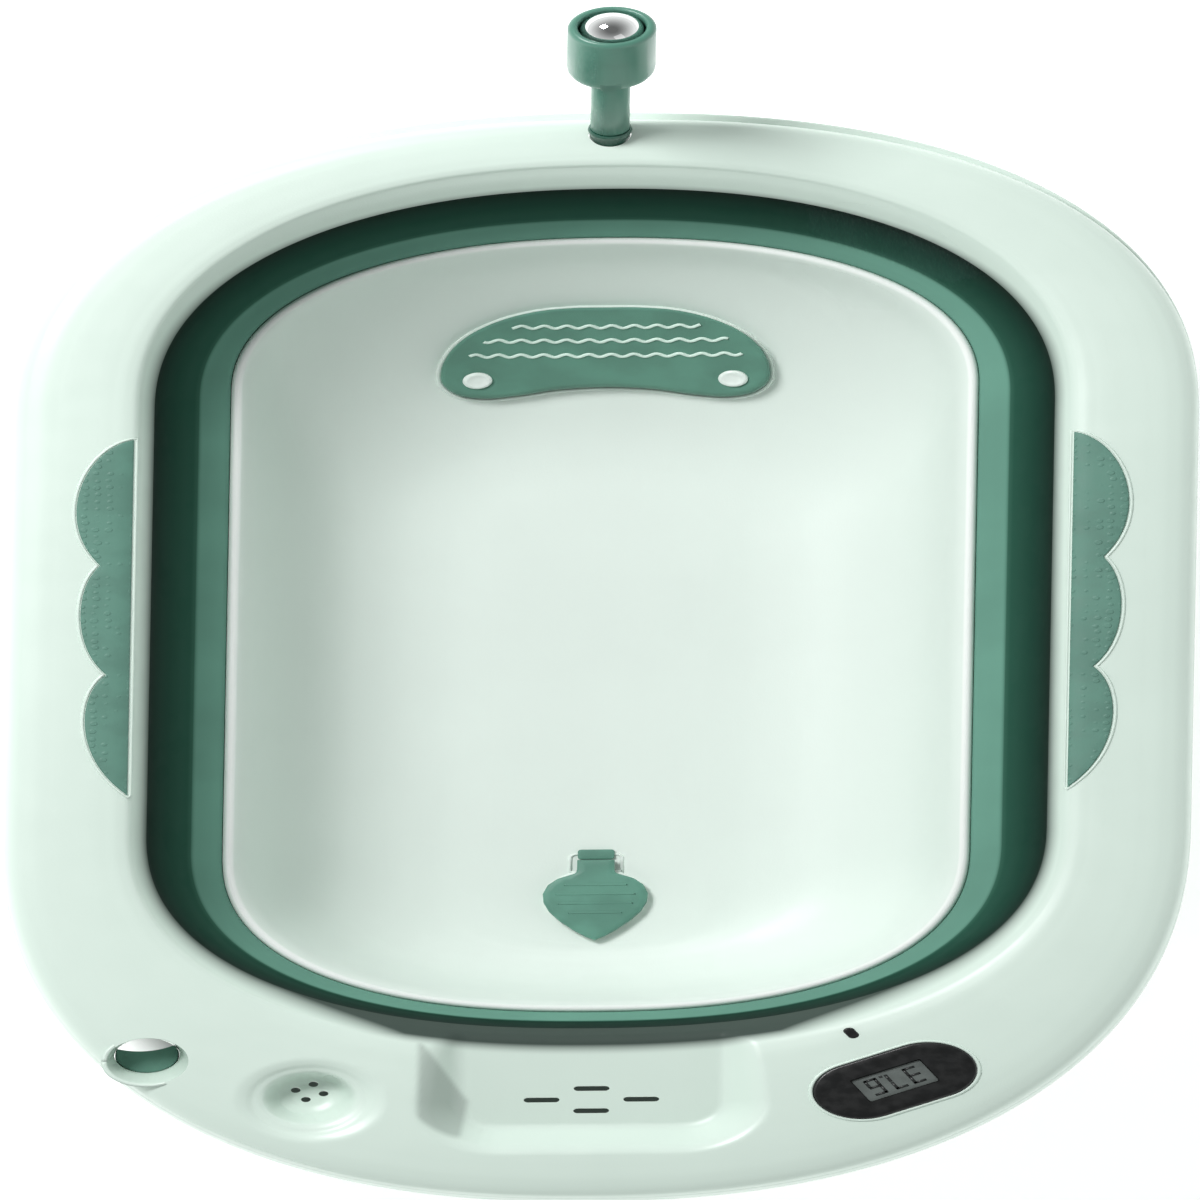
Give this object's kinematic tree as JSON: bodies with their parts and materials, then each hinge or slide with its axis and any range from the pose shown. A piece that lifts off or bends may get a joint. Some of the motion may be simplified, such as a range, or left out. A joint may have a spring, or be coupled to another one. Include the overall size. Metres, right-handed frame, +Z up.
{
  "type": "folding baby bathtub",
  "caption": "Oval folding baby bathtub with a wide rim, soft folding wall, deep base tray, headrest, drain plug, thermometer, shower stand and folding legs.",
  "frame": {"origin": "middle of the footprint of the whole tub, shower stand included, on the floor under the foot pads", "axes": "+Z up, +Y from the foot end (thermometer, soap tray) towards the head end (headrest, shower stand), +X to the side of the thermometer"},
  "size_m": [0.5058, 0.8868, 0.3649],
  "materials": {
    "rim_plastic": "satin pale mint moulded polypropylene",
    "tray_plastic": "satin pale mint moulded polypropylene",
    "wall_tpe": "smooth sage green thermoplastic rubber",
    "grip_tpe": "textured sage green thermoplastic rubber",
    "cushion_foam": "soft sage green foamed rubber",
    "stand_plastic": "glossy sage green plastic",
    "white_plastic": "glossy white plastic",
    "black_plastic": "glossy black lens",
    "lcd_panel": "grey liquid crystal panel",
    "circuit_board": "green solder mask",
    "steel": "plain steel",
    "chrome": "polished chrome"
  },
  "bodies": {
    "rim": {"rim_shell": "rim_plastic", "rim_lower_ring": "rim_plastic", "wall_clamp_ring": "rim_plastic", "folding_wall": "wall_tpe", "grip_right": "grip_tpe", "grip_left": "grip_tpe", "hose_clip": "grip_tpe", "thermometer_bezel": "black_plastic", "thermometer_lcd": "lcd_panel", "thermometer_case": "white_plastic", "thermometer_board": "circuit_board", "thermometer_battery": "steel", "battery_cover": "white_plastic", "thermometer_probe": "black_plastic", "holder_socket": "stand_plastic", "leg_bracket_head_right": "rim_plastic", "leg_bracket_head_left": "rim_plastic", "leg_bracket_foot_right": "rim_plastic", "leg_bracket_foot_left": "rim_plastic", "leg_pin_head_right": "steel", "leg_pin_head_left": "steel", "leg_pin_foot_right": "steel", "leg_pin_foot_left": "steel", "bracket_screw_head_right": "steel", "bracket_screw_head_left": "steel", "bracket_screw_foot_right": "steel", "bracket_screw_foot_left": "steel", "rim_screw_1": "steel", "rim_screw_2": "steel", "rim_screw_3": "steel", "rim_screw_4": "steel", "rim_screw_5": "steel", "rim_screw_6": "steel"},
    "base": {"base_tray": "tray_plastic", "tray_clamp_ring": "rim_plastic", "drain_seat": "tray_plastic", "drain_nut": "tray_plastic", "plug_strap": "grip_tpe"},
    "plug": {"drain_plug": "grip_tpe"},
    "cushion": {"headrest_cushion": "cushion_foam", "cushion_snap_right": "white_plastic", "cushion_snap_left": "white_plastic"},
    "stand": {"holder_post": "stand_plastic", "cup_pivot_pin": "steel"},
    "stand_cup": {"holder_cup": "stand_plastic"},
    "stand_ball": {"holder_ball": "chrome"},
    "head_right_leg": {"leg_head_right": "rim_plastic", "foot_pad_head_right": "grip_tpe"},
    "head_left_leg": {"leg_head_left": "rim_plastic", "foot_pad_head_left": "grip_tpe"},
    "foot_right_leg": {"leg_foot_right": "rim_plastic", "foot_pad_foot_right": "grip_tpe"},
    "foot_left_leg": {"leg_foot_left": "rim_plastic", "foot_pad_foot_left": "grip_tpe"},
    "head_right_lock": {"leg_lock_head_right": "stand_plastic"},
    "head_left_lock": {"leg_lock_head_left": "stand_plastic"},
    "foot_right_lock": {"leg_lock_foot_right": "stand_plastic"},
    "foot_left_lock": {"leg_lock_foot_left": "stand_plastic"}
  },
  "joints": [
    {"name": "base_collapse", "type": "slide", "parent": "rim", "child": "base", "axis": [0, 0, 1], "range_m": [0, 0.09], "deforming": ["folding_wall"]},
    {"name": "plug_hinge", "type": "hinge", "parent": "base", "child": "plug", "pos_m": [0, -0.16886, 0.0361], "axis": [-1, 0, 0], "range_deg": [0, 88]},
    {"name": "cushion_lift", "type": "slide", "parent": "base", "child": "cushion", "axis": [0, -0.5736, 0.8192], "range_m": [0, 0.04]},
    {"name": "post_swivel", "type": "hinge", "parent": "rim", "child": "stand", "pos_m": [0, 0.36014, 0.225], "axis": [0, 0.454, 0.891], "range_deg": [-90, 90]},
    {"name": "cup_tilt", "type": "hinge", "parent": "stand", "child": "stand_cup", "pos_m": [0, 0.39964, 0.30252], "axis": [1, 0, 0], "range_deg": [-20, 20]},
    {"name": "ball_swivel", "type": "hinge", "parent": "stand_cup", "child": "stand_ball", "pos_m": [0, 0.42429, 0.3509], "axis": [1, 0, 0], "range_deg": [-25, 25]},
    {"name": "head_right_fold", "type": "hinge", "parent": "rim", "child": "head_right_leg", "pos_m": [0.218, 0.21714, 0.201], "axis": [-1, 0, 0], "range_deg": [0, 90]},
    {"name": "head_left_fold", "type": "hinge", "parent": "rim", "child": "head_left_leg", "pos_m": [-0.218, 0.21714, 0.201], "axis": [-1, 0, 0], "range_deg": [0, 90]},
    {"name": "foot_right_fold", "type": "hinge", "parent": "rim", "child": "foot_right_leg", "pos_m": [0.218, -0.23786, 0.201], "axis": [1, 0, 0], "range_deg": [0, 90]},
    {"name": "foot_left_fold", "type": "hinge", "parent": "rim", "child": "foot_left_leg", "pos_m": [-0.218, -0.23786, 0.201], "axis": [1, 0, 0], "range_deg": [0, 90]},
    {"name": "head_right_press", "type": "slide", "parent": "head_right_leg", "child": "head_right_lock", "axis": [0, -1, 0], "range_m": [0, 0.003], "stiffness_N_per_m": 300, "springref_m": -0.003},
    {"name": "head_left_press", "type": "slide", "parent": "head_left_leg", "child": "head_left_lock", "axis": [0, -1, 0], "range_m": [0, 0.003], "stiffness_N_per_m": 300, "springref_m": -0.003},
    {"name": "foot_right_press", "type": "slide", "parent": "foot_right_leg", "child": "foot_right_lock", "axis": [0, 1, 0], "range_m": [0, 0.003], "stiffness_N_per_m": 300, "springref_m": -0.003},
    {"name": "foot_left_press", "type": "slide", "parent": "foot_left_leg", "child": "foot_left_lock", "axis": [0, 1, 0], "range_m": [0, 0.003], "stiffness_N_per_m": 300, "springref_m": -0.003}
  ]
}
